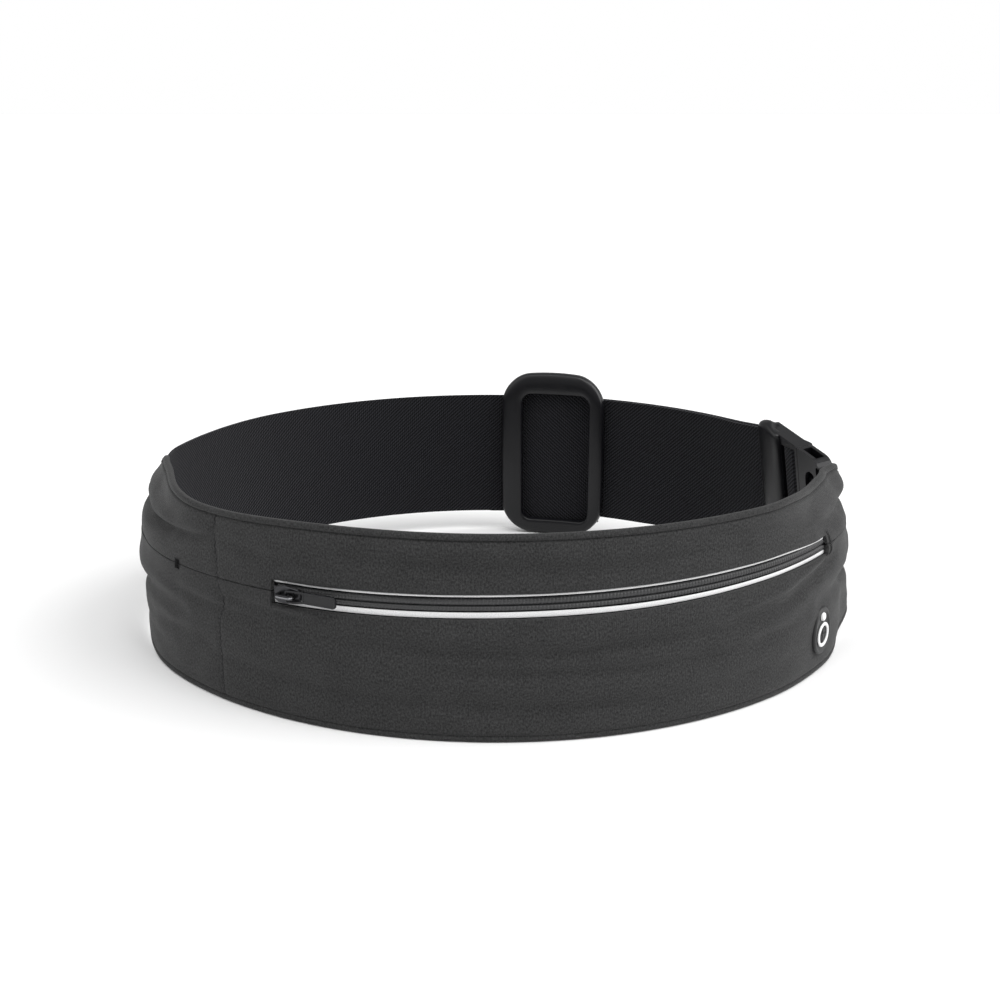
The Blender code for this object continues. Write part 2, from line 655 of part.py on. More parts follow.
def build_buckle():
    half = SOCKET_HALF_HEIGHT / MM
    full = 2.0 * BUCKLE_HALF_THICKNESS

    # Plug: end plate with a rounded grip bar, strap slots either side of a thin cross bar, tongue
    edge = tapered(end_plate(-14.0, PLUG_END, half))
    plug = add_object("buckle_plug", buckle_plate("plug", [edge], full), PLASTIC)
    add_bevel(plug, 0.6 * MM)
    slots = [buckle_plate("slot", [rounded_box(left, right, -30.4, 30.4, 0.6, 2)], 2.0 * full)
             for left, right in ((-4.0, -1.2), (-12.2, -8.8))]
    reliefs = [buckle_box((-9.2, -3.6), out, (-30.3, 30.3)) for out in ((-5.0, -1.5), (1.5, 5.0))]
    combine(plug, slots + reliefs, "DIFFERENCE")
    tongue = buckle_plate("tongue", [rounded_box(-26.2, -13.0, -19.5, 19.5, 3.0, 3)], 3.2 * MM)
    section = [(16.8, -2.6), (16.8, 1.8), (15.9, 3.1), (14.2, 3.5), (0.2, 3.5), (-0.6, 2.8),
               (-0.6, -4.0), (0.4, -5.1), (2.2, -5.4), (12.8, -5.4), (15.2, -4.6)]
    grip = plate_mesh("grip", [[(x * MM, y * MM) for x, y in section]], GRIP_LENGTH)
    grip = placed(grip, ring_frame(BUCKLE_PLACE, BUCKLE_OFFSET, STRAP_MIDDLE))
    combine(plug, [tongue, grip], "UNION")

    # Release arms: springy side prongs whose thumb pads show in the socket's side openings
    for name, sign in (("release_arm_upper", 1.0), ("release_arm_lower", -1.0)):
        outline = [(-14.4, 25.2), (-14.4, 23.2), (-20.0, 22.4), (-24.2, 22.4), (-25.4, 23.0),
                   (-25.4, 24.2), (-24.0, 25.8), (-20.2, 25.8), (-17.6, 25.2)]
        outline = [(x, sign * y) for x, y in outline]
        arm = add_object(name, buckle_plate(name, [outline], ARM_THICKNESS), PLASTIC)
        add_bevel(arm, 0.4 * MM, 1)

    # Socket: a flat sleeve with tall arched windows, side openings and a thin webbing bar
    body = tapered(end_plate(-14.3, SOCKET_END, half))
    slot = rounded_box(-30.3, -28.4, -26.7, 26.7, 0.6, 2)
    socket = add_object("buckle_socket", buckle_plate("socket", [body, slot], full), PLASTIC)
    add_bevel(socket, 0.6 * MM)
    cuts = [buckle_box((-27.3, -12.0), (-2.1, 2.1), (-28.4, 28.4)),
            buckle_box((-27.0, -17.0), (-2.0, 2.0), (26.0, 40.0)),
            buckle_box((-27.0, -17.0), (-2.0, 2.0), (-40.0, -26.0)),
            buckle_plate("window", [rounded_box(-27.4, -19.6, -23.4, 23.4, 3.8, 4)], 20.0 * MM),
            buckle_box((-35.0, -30.0), (-5.0, -1.5), (-26.5, 26.5)),
            buckle_box((-35.0, -30.0), (1.5, 5.0), (-26.5, 26.5))]
    combine(socket, cuts, "DIFFERENCE")


# ---------------------------------------------------------------- build

clear_scene()
PARTS = new_collection("waist_pack")
CUTTERS = new_collection("waist_pack_cutters")
KNIT = material("knit_fabric", (0.030, 0.030, 0.031), 0.85)
MESH_LINING = material("lining_fabric", (0.055, 0.055, 0.056), 0.9)
TAPE = material("zip_tape", (0.018, 0.018, 0.019), 0.8)
COIL = material("zip_coil", (0.022, 0.022, 0.023), 0.45)
REFLECTIVE = material("reflective_print", (0.80, 0.80, 0.80), 0.5)
METAL = material("slider_metal", (0.05, 0.05, 0.052), 0.35, 0.8)
THREAD = material("thread", (0.02, 0.02, 0.02), 0.7)
RUBBER = material("port_rubber", (0.05, 0.05, 0.052), 0.6)
ELASTIC = material("elastic_webbing", (0.012, 0.012, 0.014), 0.8)
PLASTIC = material("moulded_plastic", (0.020, 0.020, 0.022), 0.4)

build_pouch()
build_zip()
build_slider()
build_stitching()
build_port()
build_strap()
build_adjuster()
build_buckle()
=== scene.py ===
"""Looks for the running waist pack: knitted pouch, zip, ribbed elastic, adjuster and buckle.

A place on the belt is (s, z, off): s in mm along the ring from the front centre (right and round
the back), z in mm up, off in mm outwards from the ring line that the CAD follows.
"""
import json
import math

import bmesh
import bpy
from mathutils import Matrix, Vector, noise


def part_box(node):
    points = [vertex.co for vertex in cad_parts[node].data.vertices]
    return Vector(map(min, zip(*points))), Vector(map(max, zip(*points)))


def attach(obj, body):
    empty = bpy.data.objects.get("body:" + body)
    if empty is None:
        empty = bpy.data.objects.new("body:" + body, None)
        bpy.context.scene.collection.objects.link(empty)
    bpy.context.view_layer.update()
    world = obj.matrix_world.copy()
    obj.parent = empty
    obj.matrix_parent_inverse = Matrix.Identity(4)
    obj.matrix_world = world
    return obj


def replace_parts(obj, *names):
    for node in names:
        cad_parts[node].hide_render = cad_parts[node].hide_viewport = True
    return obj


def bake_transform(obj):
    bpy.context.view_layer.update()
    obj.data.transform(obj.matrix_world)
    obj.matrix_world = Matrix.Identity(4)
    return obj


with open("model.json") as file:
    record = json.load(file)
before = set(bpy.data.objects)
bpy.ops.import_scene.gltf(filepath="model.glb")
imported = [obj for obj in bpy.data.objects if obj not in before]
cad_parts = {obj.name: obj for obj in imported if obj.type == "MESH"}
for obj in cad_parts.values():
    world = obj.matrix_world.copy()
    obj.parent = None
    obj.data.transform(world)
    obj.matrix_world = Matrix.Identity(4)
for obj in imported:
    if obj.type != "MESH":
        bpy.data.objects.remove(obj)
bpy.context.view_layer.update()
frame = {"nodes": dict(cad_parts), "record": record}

MM = 0.001
JOINTS = {joint["name"]: joint for joint in frame["record"]["behaviour"]["joints"]}

# The ring's arcs, in metres, and where the front arc ends on each side
FRONT_CENTRE = Vector((*JOINTS["zip_travel"]["pos_m"][:2], 0.0))
FRONT_RADIUS, RIGHT_RADIUS, LEFT_RADIUS, BACK_RADIUS = 0.1600, 0.0640, 0.1020, 0.1466
FRONT_LEFT_ANGLE = math.radians(-50.0)
FRONT_RIGHT_ANGLE = math.radians(55.0)

# Pouch and zip: places along the ring and heights, in mm; the zip's line climbs to the right
POUCH_LEFT, POUCH_RIGHT = -234.0, 210.0
POUCH_TOP = 77.0
END_RISE = 7.0
SIDE_SEAM = -110.0
POCKET_BARTACK = -134.5
BARTACK_POINTS = 26
ZIP_LEFT, ZIP_RIGHT = -83.0, 147.5
ZIP_HEIGHT, ZIP_SLOPE = 50.8, 0.017
TAPE_BELOW, TAPE_ABOVE = 7.5, 7.0
COIL_PITCH = 1.28
SLIDER_PLACE = -75.5
PORT_PLACE = 148.0

# Strap: the edges' heights, the offsets of the layer next to the body and of the return layer
# over it, where its buckle end begins, the length sewn inside the pouch, and how far before the
# adjuster's bar the return layer ends and past it the tail is sewn down
STRAP_LOW, STRAP_HIGH = 10.0, 70.0
BELT_MIDDLE = 0.5 * (STRAP_LOW + STRAP_HIGH)
STRAP_THICKNESS = 1.4
INNER_LAYER, OUTER_LAYER = -2.4, -0.35
STRAP_SPLIT = 320.0
STRAP_TUCK = 20.0
RETURN_END, TAIL_END = 8.0, 34.25

# Plastic parts: the adjuster's place is its middle bar, and its frame is centred a little past it
BUCKLE_PLACE, BUCKLE_OFFSET = 245.0, -6.5
GRIP_HALF, GRIP_TAPER = 36.9, 0.30
ADJUSTER_PLACE, ADJUSTER_OFFSET = 387.2, -6.1
FRAME_SHIFT = 1.2
ADJUSTER_HALF = (24.6, 41.25)
ADJUSTER_BOW = 0.055
WINDOW_HALF = (16.9, 32.0)
WINDOW_SHIFT = (-1.7, -1.45)


# ---------------------------------------------------------------- the ring

def direction(angle):
    """Outward unit vector in the plan, turning from the front towards the right."""
    return Vector((math.sin(angle), -math.cos(angle), 0.0))


def ring_arcs():
    """The plan line's tangent arcs as (centre, radius, start angle, end angle)."""
    right = FRONT_CENTRE + (FRONT_RADIUS - RIGHT_RADIUS) * direction(FRONT_RIGHT_ANGLE)
    left = FRONT_CENTRE + (FRONT_RADIUS - LEFT_RADIUS) * direction(FRONT_LEFT_ANGLE)
    back = Vector((*JOINTS["adjuster_travel"]["pos_m"][:2], 0.0))
    full = 2.0 * math.pi
    start = math.atan2((right - back).x, -(right - back).y)
    end = math.atan2((left - back).x, -(left - back).y) % full
    return [(FRONT_CENTRE, FRONT_RADIUS, 0.0, FRONT_RIGHT_ANGLE),
            (right, RIGHT_RADIUS, FRONT_RIGHT_ANGLE, start),
            (back, BACK_RADIUS, start, end),
            (left, LEFT_RADIUS, end, full + FRONT_LEFT_ANGLE),
            (FRONT_CENTRE, FRONT_RADIUS, full + FRONT_LEFT_ANGLE, full)]


ARCS = ring_arcs()
LENGTH = sum(radius * (high - low) for _, radius, low, high in ARCS) / MM


def smooth(value):
    value = min(max(value, 0.0), 1.0)
    return value * value * (3.0 - 2.0 * value)


def ramp(value, low, high):
    return smooth((value - low) / (high - low))


def bell(value, width):
    return math.exp(-(value / width) ** 2)


def lean(s):
    """The belt leans around its buckle: outward shift per unit of height."""
    return -0.15 * (ramp(s, 178.0, 208.0) - ramp(s, 285.0, 345.0))


def ring(s):
    """(centre, radius, angle) of the arc at a place."""
    s = (s % LENGTH) * MM
    for centre, radius, low, high in ARCS:
        if s <= radius * (high - low):
            return centre, radius, low + s / radius
        s -= radius * (high - low)
    return centre, radius, high


def signed(s):
    """The same place counted the short way round, negative to the left of the front centre."""
    s = s % LENGTH
    return s - LENGTH if s > 0.5 * LENGTH else s


def curl(s, z):
    """The gathered top edge pulls in round both turns, the right one tighter; the back is straight."""
    t = signed(s)
    if t > 0.0:
        pull = 9.2 * ramp(t, 104.0, 162.0) * (1.0 - 0.88 * ramp(t, 176.0, 200.0))
        pull *= 1.0 - ramp(t, 250.0, 350.0)
        tight = 1.8 * ramp(t, 112.0, 165.0) * (1.0 - ramp(t, 212.0, 226.0))
    else:
        pull = 10.0 * ramp(-t, 120.0, 176.0) * (1.0 - 0.55 * ramp(-t, 196.0, 236.0))
        pull *= 1.0 - ramp(-t, 238.0, 310.0)
        tight = 0.0
    return -pull * ramp(z, 50.0, 78.0) - tight


def place(s, z, off):
    """Point of the belt at s along the ring, z up and off outwards, in metres."""
    centre, radius, angle = ring(s)
    off = off + lean(s % LENGTH) * (z - STRAP_HIGH) + curl(s, z)
    point = centre + direction(angle) * (radius + off * MM)
    return Vector((point.x, point.y, z * MM))


def buckle_frame():
    """Frame of the buckle: X along the ring, Y outwards, Z up the leaning belt."""
    angle = ring(BUCKLE_PLACE)[2]
    slope = lean(BUCKLE_PLACE)
    outward = direction(angle)
    up = Vector((0.0, 0.0, 1.0))
    axes = Matrix((Vector((-outward.y, outward.x, 0.0)), (outward - slope * up).normalized(),
                   (up + slope * outward).normalized())).transposed().to_4x4()
    axes.translation = place(BUCKLE_PLACE, BELT_MIDDLE, BUCKLE_OFFSET)
    return axes


# ---------------------------------------------------------------- heights and folds

def end_share(s, start):
    """0 up to start on either side, rising to 1 at the pouch's end."""
    end = POUCH_RIGHT if s > 0.0 else -POUCH_LEFT
    return smooth((abs(s) - start) / (end - start))


def pouch_top(s):
    if s > 0.0:
        return POUCH_TOP - 2.6 * ramp(s, 116.0, 150.0) - 6.0 * ramp(s, 188.0, 209.0)
    return POUCH_TOP - 10.5 * ramp(-s, 186.0, 234.0) - 1.8 * bell(s + 112.0, 34.0)


def pouch_bottom(s):
    return END_RISE * end_share(s, 155.0)


def zip_middle(s):
    bow = 0.45 * bell(s + 8.0, 50.0) - 0.5 * ramp(s, 118.0, 150.0)
    return ZIP_HEIGHT + ZIP_SLOPE * (place(s, 0.0, 0.0).x - FRONT_CENTRE.x) / MM + bow


def slot_above(s):
    """Height of the zip's opening above its middle line."""
    return 4.15 - 1.1 * ramp(s, 112.0, 147.0)


def slot_below(s):
    """Depth of the zip's opening below its middle line."""
    return 4.7 - 0.9 * ramp(s, 40.0, 147.0)


# Folds of the front face: start and end (s, z), sag of the middle, half width, depth
FOLD_STRENGTH = 1.25
FOLDS = [
    (-84.0, 66.5, 98.0, 65.0, -0.8, 2.6, 1.25), (-24.0, 61.0, 66.0, 61.0, 0.5, 2.0, 0.75),
    (20.0, 71.5, 150.0, 68.0, 0.0, 2.4, 0.7), (-78.0, 37.0, 112.0, 39.0, -5.0, 2.8, 1.45),
    (-40.0, 28.5, 86.0, 28.0, -3.0, 2.4, 1.0), (-108.0, 18.0, 52.0, 15.0, -2.5, 3.8, 1.35),
    (-12.0, 11.5, 110.0, 14.0, -1.0, 2.8, 0.95), (40.0, 24.0, 136.0, 29.0, -2.0, 3.0, 0.95),
    (58.0, 31.5, 158.0, 47.0, -4.0, 2.6, 1.5), (88.0, 37.5, 156.0, 48.5, -1.5, 1.8, 1.1),
    (100.0, 68.0, 160.0, 57.0, 1.5, 2.4, 1.0), (-198.0, 56.0, -108.0, 64.5, -1.0, 1.8, 1.7),
    (-106.0, 63.5, -52.0, 60.0, -0.5, 2.2, 0.8), (-150.0, 40.5, -70.0, 38.0, -2.0, 2.6, 0.9),
    (-112.0, 42.5, -62.0, 41.0, 0.0, 1.8, 0.9), (-196.0, 21.0, -112.0, 24.0, -2.0, 3.4, 1.0),
    (140.0, 59.5, 246.0, 58.5, 0.0, 2.6, 2.0), (140.0, 30.5, 250.0, 31.0, 0.0, 4.4, 2.1),
    (-262.0, 58.6, -138.0, 60.0, 0.0, 2.4, 2.3), (-262.0, 28.4, -128.0, 31.0, 0.0, 3.6, 2.3),
    (-262.0, 11.0, -140.0, 14.0, 0.0, 3.0, 0.7),
]


def folds(s, z):
    """Depth of the creases at one spot, each with a soft ridge above it."""
    depth = 0.0
    for s0, z0, s1, z1, sag, width, amount in FOLDS:
        if s0 < s < s1:
            share = (s - s0) / (s1 - s0)
            away = z - (z0 + (z1 - z0) * share + 4.0 * sag * share * (1.0 - share))
            fade = math.sin(math.pi * share) ** 0.7
            crease = bell(away, width) - 0.5 * bell(away - 2.1 * width, 1.4 * width)
            depth -= FOLD_STRENGTH * amount * fade * crease
    return depth


def ripple(s, z, seed):
    """Slow uneven swell of loose cloth, longer along the belt than up it."""
    return noise.noise(Vector((s / 26.0, z / 8.0, seed))) + 0.45 * noise.noise(
        Vector((s / 11.0, z / 4.0, seed + 7.3)))


def seam_place(z):
    """The side seam wanders a little where folds cross it."""
    return SIDE_SEAM + 2.6 * bell(z - 41.0, 4.5) - 1.0 * bell(z - 66.0, 5.0)


def front_face(s, z):
    """How far the front face stands off the ring line."""
    low, high = pouch_bottom(s), pouch_top(s)
    share = min(max((z - low) / (high - low), 0.0), 1.0)
    puff = 0.9 * math.sin(math.pi * share) ** 0.6
    edge = ramp(z, low + 2.0, low + 6.0) * ramp(high - z, 2.0, 6.0)
    seam = 0.4 * bell(s - seam_place(z), 0.8)
    return puff + edge * (folds(s, z) + 0.5 * ripple(s, z, 1.7)) - seam


def back_face(s, z):
    """How far the face next to the body stands off the ring line."""
    low, high = pouch_bottom(s), pouch_top(s)
    share = min(max((z - low) / (high - low), 0.0), 1.0)
    swell = 1.9 * math.sin(math.pi * share) ** 0.7
    swell += 1.4 * ripple(s, z, 9.1) * share * (1.0 - share)
    return behind_strap(s, -2.6 - swell)


def behind_strap(s, off):
    """At the left end the elastic is sewn to the inner side, so the pouch stays outside it."""
    return off + (max(off, -1.45) - off) * ramp(-s, 192.0, 206.0)


# ---------------------------------------------------------------- making pieces

def wear(item, look):
    item.data.materials.clear()
    item.data.materials.append(look)


def finish_piece(item, body, slot, look, *nodes):
    """Material, the body it rides on, and the CAD nodes it stands for; slot is not used."""
    wear(item, look)
    if nodes:
        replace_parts(item, *nodes)
    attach(item, body)
    return item


def grid_object(name, rows, coords, closed=False):
    """Smooth mesh from rows of points, with a UV map in mm; closed joins each row's two ends."""
    count = len(rows[0])
    verts = [point for row in rows for point in row]
    faces = []
    for i in range(len(rows) - 1):
        for j in range(count - (0 if closed else 1)):
            k = (j + 1) % count
            faces.append((i * count + j, i * count + k, (i + 1) * count + k, (i + 1) * count + j))
    mesh = bpy.data.meshes.new(name)
    mesh.from_pydata(verts, [], faces)
    layer = mesh.uv_layers.new(name="UVMap")
    flat = [uv for row in coords for uv in row]
    for loop in mesh.loops:
        layer.data[loop.index].uv = flat[loop.vertex_index]
    mesh.polygons.foreach_set("use_smooth", [True] * len(mesh.polygons))
    item = bpy.data.objects.new(name, mesh)
    bpy.context.scene.collection.objects.link(item)
    return item


def spread(low, high, step):
    """Even places from low to high, no more than step apart."""
    count = max(1, math.ceil((high - low) / step))
    return [low + (high - low) * i / count for i in range(count + 1)]


def steps(start, end, count):
    """count even places from start to end."""
    return [start + (end - start) * i / (count - 1) for i in range(count)]


def band(name, start, end, low, high, outer, thickness, step, rise):
    """Ribbon along the ring with rounded edges; low and high are functions of s."""
    rounding = ((0.3, 0.2), (0.0, 0.5), (0.3, 0.8))
    rows, coords = [], []
    levels = max(2, math.ceil((high(start) - low(start)) / rise))
    for s in spread(start, end, step):
        z0, z1 = low(s), high(s)
        edge = min(0.5 * thickness, 0.3 * (z1 - z0))
        heights = steps(z0 + edge, z1 - edge, levels)
        loop = [(z, outer) for z in heights]
        loop += [(z1 - back * edge, outer - deep * thickness) for back, deep in rounding]
        loop += [(z, outer - thickness) for z in reversed(heights)]
        loop += [(z0 + back * edge, outer - deep * thickness) for back, deep in reversed(rounding)]
        rows.append([place(s, z, off) for z, off in loop])
        coords.append([(s, z) for z, off in loop])
    return capped(grid_object(name, rows, coords, closed=True))


def capped(item):
    """Close the two open ends of a tube-like grid."""
    shape = bmesh.new()
    shape.from_mesh(item.data)
    ends = [edge for edge in shape.edges if edge.is_boundary]
    bmesh.ops.holes_fill(shape, edges=ends, sides=0)
    bmesh.ops.recalc_face_normals(shape, faces=shape.faces[:])
    shape.to_mesh(item.data)
    shape.free()
    return item


def merge(item, turn_faces=True):
    """Weld points that coincide."""
    shape = bmesh.new()
    shape.from_mesh(item.data)
    bmesh.ops.remove_doubles(shape, verts=shape.verts[:], dist=0.01 * MM)
    if turn_faces:
        bmesh.ops.recalc_face_normals(shape, faces=shape.faces[:])
    shape.to_mesh(item.data)
    shape.free()


def thread(name, points, radius, look, body="belt", slot="thread"):
    """Thin round line through the points, radius in mm."""
    curve = bpy.data.curves.new(name, "CURVE")
    curve.dimensions = "3D"
    curve.bevel_depth = radius * MM
    curve.bevel_resolution = 2
    curve.use_fill_caps = True
    spline = curve.splines.new("POLY")
    spline.points.add(len(points) - 1)
    for point, co in zip(spline.points, points):
        point.co = (*co, 1.0)
    item = bpy.data.objects.new(name, curve)
    bpy.context.scene.collection.objects.link(item)
    return finish_piece(item, body, slot, look)


def refine(points, passes):
    """Cut the corners of a path of (x, y) points."""
    for _ in range(passes):
        cut = [points[0]]
        for (x0, y0), (x1, y1) in zip(points, points[1:]):
            cut += [(0.75 * x0 + 0.25 * x1, 0.75 * y0 + 0.25 * y1),
                    (0.25 * x0 + 0.75 * x1, 0.25 * y0 + 0.75 * y1)]
        points = cut + [points[-1]]
    return points


# ---------------------------------------------------------------- materials

class Look:
    """A Principled material with a few helpers for its node tree."""

    def __init__(self, name, colour, roughness, **values):
        self.material = bpy.data.materials.new(name)
        self.material.use_nodes = True
        self.nodes = self.material.node_tree.nodes
        self.links = self.material.node_tree.links
        self.shader = self.nodes["Principled BSDF"]
        self.shader.inputs["Base Color"].default_value = (*colour, 1.0)
        self.shader.inputs["Roughness"].default_value = roughness
        self.material.diffuse_color = (*colour, 1.0)
        for key, value in values.items():
            self.shader.inputs[key.replace("_", " ")].default_value = value

    def coords(self, kind="UV", scale=(1.0, 1.0, 1.0)):
        source = self.nodes.new("ShaderNodeTexCoord")
        mapping = self.nodes.new("ShaderNodeMapping")
        mapping.inputs["Scale"].default_value = scale
        self.links.new(source.outputs[kind], mapping.inputs["Vector"])
        return mapping.outputs["Vector"]

    def noise(self, vector, scale, detail=2.0, roughness=0.5):
        node = self.nodes.new("ShaderNodeTexNoise")
        node.inputs["Scale"].default_value = scale
        node.inputs["Detail"].default_value = detail
        node.inputs["Roughness"].default_value = roughness
        self.links.new(vector, node.inputs["Vector"])
        return node.outputs["Fac"]

    def stripes(self, vector, along, up):
        """Sine stripes: along and up are cycles per mm."""
        dot = self.nodes.new("ShaderNodeVectorMath")
        dot.operation = "DOT_PRODUCT"
        dot.inputs[1].default_value = (2.0 * math.pi * along, 2.0 * math.pi * up, 0.0)
        self.links.new(vector, dot.inputs[0])
        return self.math("MULTIPLY_ADD", self.math("SINE", dot.outputs["Value"]), 0.5, 0.5)

    def math(self, operation, *values):
        """A math node; each value is a number or another node's output."""
        node = self.nodes.new("ShaderNodeMath")
        node.operation = operation
        for socket, value in zip(node.inputs, values):
            if isinstance(value, (int, float)):
                socket.default_value = value
            else:
                self.links.new(value, socket)
        return node.outputs["Value"]

    def colours(self, factor, *stops):
        """Base colour from a ramp of (position, colour) stops."""
        node = self.nodes.new("ShaderNodeValToRGB")
        ramp_node = node.color_ramp
        while len(ramp_node.elements) < len(stops):
            ramp_node.elements.new(0.5)
        for element, (position, colour) in zip(ramp_node.elements, stops):
            element.position = position
            element.color = (*colour, 1.0)
        self.links.new(factor, node.inputs["Fac"])
        self.links.new(node.outputs["Color"], self.shader.inputs["Base Color"])

    def vary_roughness(self, factor, low, high):
        node = self.nodes.new("ShaderNodeMapRange")
        node.inputs["To Min"].default_value = low
        node.inputs["To Max"].default_value = high
        self.links.new(factor, node.inputs["Value"])
        self.links.new(node.outputs["Result"], self.shader.inputs["Roughness"])

    def bump(self, height, distance, strength):
        """Relief of the given depth in mm, on top of any earlier one."""
        node = self.nodes.new("ShaderNodeBump")
        node.inputs["Distance"].default_value = distance * MM
        node.inputs["Strength"].default_value = strength
        previous = self.shader.inputs["Normal"].links
        if previous:
            self.links.new(previous[0].from_socket, node.inputs["Normal"])
        self.links.new(height, node.inputs["Height"])
        self.links.new(node.outputs["Normal"], self.shader.inputs["Normal"])


def knit_look(name, dark, light):
    """Fine jersey: wales and courses, with a heathered grain."""
    look = Look(name, light, 0.9, Specular_IOR_Level=0.2, Sheen_Weight=0.12, Sheen_Roughness=0.4)
    uv = look.coords()
    wale = look.stripes(uv, 1.3, 0.0)
    course = look.stripes(uv, 0.0, 1.6)
    knit = look.math("MULTIPLY", wale, course)
    grain = look.noise(look.coords("UV", (1.0, 0.7, 1.0)), 1.5, 3.0, 0.7)
    cloud = look.noise(uv, 0.08, 2.0)
    mixed = look.math("MULTIPLY_ADD", cloud, 0.10, look.math("MULTIPLY_ADD", grain, 0.85, 0.02))
    look.colours(mixed, (0.34, dark), (0.68, light))
    look.bump(knit, 0.12, 0.5)
    look.bump(grain, 0.15, 0.6)
    return look.material


def elastic_look():
    """Woven elastic with a diagonal rib, with painted shade in the rib's grooves over a random grain.
    """
    look = Look("elastic_webbing_look", (0.010, 0.010, 0.012), 0.75, Specular_IOR_Level=0.12,
                Sheen_Weight=0.05)
    uv = look.coords()
    rib = look.stripes(uv, 0.50, 0.58)
    pick = look.stripes(uv, 0.95, 0.0)
    grain = look.noise(uv, 1.6, 2.0)
    height = look.math("MULTIPLY_ADD", pick, 0.45, rib)
    # Painted shade: the colour follows the rib's relief, dark in the grooves and lighter on the
    # crests, plus a random grain.
    grain_and_rib_shade = look.math("MULTIPLY_ADD", grain, 0.35, look.math("MULTIPLY", height, 0.5))
    look.colours(grain_and_rib_shade, (0.32, (0.0006, 0.0006, 0.0008)), (0.85, (0.024, 0.024, 0.029)))
    look.bump(height, 0.45, 0.8)
    return look.material


def plastic_look(name, colour, roughness):
    """Moulded plastic with a fine grain and handling marks."""
    look = Look(name, colour, roughness, Specular_IOR_Level=0.36)
    where = look.coords("Object")
    grain = look.noise(where, 2600.0, 2.0)
    marks = look.noise(look.coords("Object", (1.0, 1.0, 0.25)), 160.0, 3.0)
    look.vary_roughness(marks, roughness - 0.08, roughness + 0.12)
    look.bump(grain, 0.02, 0.35)
    return look.material


def build_looks():
    looks = {
        "knit": knit_look("knit_fabric_look", (0.011, 0.011, 0.0112), (0.050, 0.050, 0.0505)),
        "elastic": elastic_look(),
        "plastic": plastic_look("moulded_plastic_look", (0.0045, 0.0045, 0.0058), 0.32),
    }
    tape = Look("zip_tape_look", (0.010, 0.010, 0.011), 0.85, Specular_IOR_Level=0.2)
    uv = tape.coords()
    weave = tape.math("MULTIPLY", tape.stripes(uv, 1.4, 0.0), tape.stripes(uv, 0.0, 1.8))
    tape.bump(weave, 0.1, 0.6)
    looks["tape"] = tape.material
    coil = Look("zip_coil_look", (0.030, 0.030, 0.0315), 0.5)
    coil.vary_roughness(coil.noise(coil.coords(), 1.2), 0.34, 0.52)
    looks["coil"] = coil.material
    strip = Look("reflective_look", (0.72, 0.72, 0.72), 0.4)
    glass = strip.noise(strip.coords(), 2.5, 1.0)
    strip.colours(glass, (0.25, (0.60, 0.60, 0.61)), (0.75, (0.80, 0.80, 0.80)))
    strip.bump(glass, 0.03, 0.4)
    looks["strip"] = strip.material
    metal = Look("slider_metal_look", (0.045, 0.045, 0.048), 0.28, Metallic=0.9)
    worn = metal.noise(metal.coords("Object"), 900.0, 3.0)
    metal.vary_roughness(worn, 0.2, 0.42)
    metal.bump(worn, 0.03, 0.3)
    looks["metal"] = metal.material
    bright = Look("bail_metal_look", (0.22, 0.22, 0.23), 0.25, Metallic=1.0)
    bright.vary_roughness(bright.noise(bright.coords("Object"), 700.0), 0.15, 0.32)
    looks["bright"] = bright.material
    yarn = Look("thread_look", (0.011, 0.011, 0.012), 0.8)
    yarn.bump(yarn.noise(yarn.coords("Object"), 3000.0), 0.05, 0.6)
    looks["thread"] = yarn.material
    tack = Look("bartack_thread_look", (0.024, 0.024, 0.025), 0.8)
    tack.bump(tack.noise(tack.coords("Object"), 3000.0), 0.05, 0.6)
    looks["bartack"] = tack.material
    rubber = Look("port_rubber_look", (0.012, 0.012, 0.0125), 0.5)
    rubber.bump(rubber.noise(rubber.coords("Object"), 1500.0), 0.03, 0.4)
    looks["rubber"] = rubber.material
    rim = Look("port_rim_look", (0.82, 0.82, 0.82), 0.45)
    rim.vary_roughness(rim.noise(rim.coords("Object"), 500.0), 0.36, 0.55)
    looks["rim"] = rim.material
    return looks


# ---------------------------------------------------------------- pouch

def slot_open(s):
    return ZIP_LEFT - 0.01 < s < ZIP_RIGHT + 0.01


# Rolled hems as (distance in from the pouch's edge, what off is measured from, off): the front face
# beside the hem, the ring line, or the ring line kept outside the strap
TOP_HEM = [
    (3.0, "front", -0.15), (2.6, "front", -0.75), (2.3, "front", -0.8), (2.0, "front", -0.2),
    (1.4, "ring", 0.25), (0.7, "ring", 0.15), (0.2, "ring", -0.2), (0.0, "ring", -0.8),
    (0.0, "strap", -1.5), (0.3, "strap", -2.1), (0.9, "strap", -2.4), (1.8, "strap", -2.4),
    (2.3, "strap", -2.2), (2.8, "strap", -2.4),
]
BOTTOM_HEM = [
    (2.8, "strap", -2.5), (2.2, "strap", -2.3), (1.6, "strap", -2.6), (0.8, "strap", -2.6),
    (0.25, "strap", -2.2), (0.0, "strap", -1.6), (0.0, "ring", -1.0), (0.25, "ring", -0.25),
    (0.8, "ring", 0.2), (1.5, "ring", 0.2), (2.0, "front", -0.25), (2.3, "front", -0.6),
    (2.6, "front", -0.5), (3.0, "front", -0.1),
]
HEM_WIDTH = 3.6
LIPS_MEET, LIPS_WELD = 150.0, 156.0


def hem_points(s, edge, inwards, table):
    """A hem's section at s; inwards is -1 below the top edge and 1 above the bottom edge."""
    face = front_face(s, edge + inwards * HEM_WIDTH)
    bases = {"front": lambda off: face + off, "ring": lambda off: off,
             "strap": lambda off: behind_strap(s, off)}
    return [(edge + inwards * away, bases[base](off)) for away, base, off in table]


